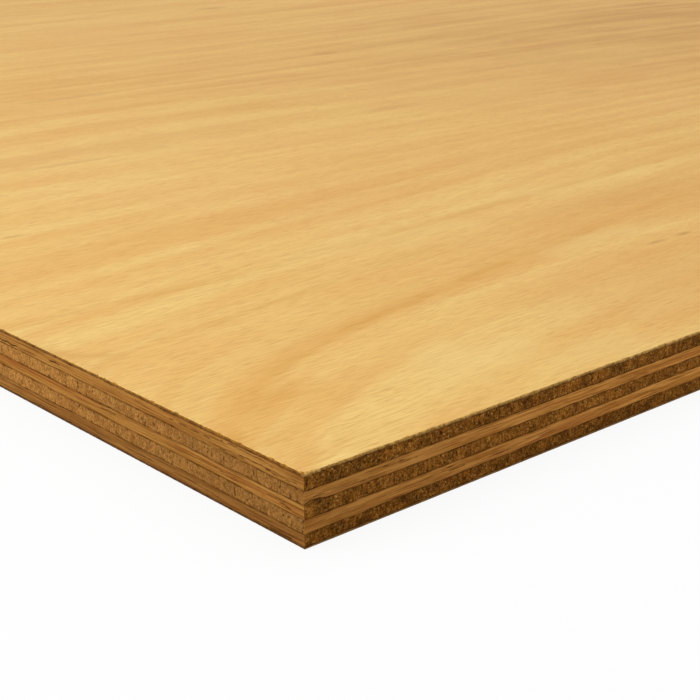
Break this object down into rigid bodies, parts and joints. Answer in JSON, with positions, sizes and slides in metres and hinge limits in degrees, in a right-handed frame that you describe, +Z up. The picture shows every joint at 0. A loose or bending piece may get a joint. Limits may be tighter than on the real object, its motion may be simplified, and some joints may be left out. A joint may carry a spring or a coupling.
{
  "type": "plywood sheet",
  "caption": "Flat rectangular plywood sheet: crossed veneers bonded by dark glue lines under a pale face veneer, with square sawn edges.",
  "frame": {"origin": "middle of the underside, which lies on the floor", "axes": "+X along the sheet's length, which is the grain of the face veneer; +Y across it; +Z up out of the face"},
  "size_m": [2.44, 1.22, 0.018],
  "materials": {
    "face_veneer": "sanded pale gold hardwood veneer, unfinished",
    "back_veneer": "sanded hardwood veneer, unfinished",
    "long_grain": "peeled core veneer, sawn along and across its grain",
    "cross_grain": "peeled core veneer, dark on its sawn end grain",
    "glue": "cured phenolic resin glue line"
  },
  "bodies": {
    "root": {"back_veneer": "back_veneer", "glue_line_1": "glue", "lower_crossband": "cross_grain", "glue_line_2": "glue", "lower_long_ply": "long_grain", "glue_line_3": "glue", "centre_crossband": "cross_grain", "glue_line_4": "glue", "upper_long_ply": "long_grain", "glue_line_5": "glue", "upper_crossband": "cross_grain", "glue_line_6": "glue", "face_veneer": "face_veneer"}
  },
  "joints": []
}
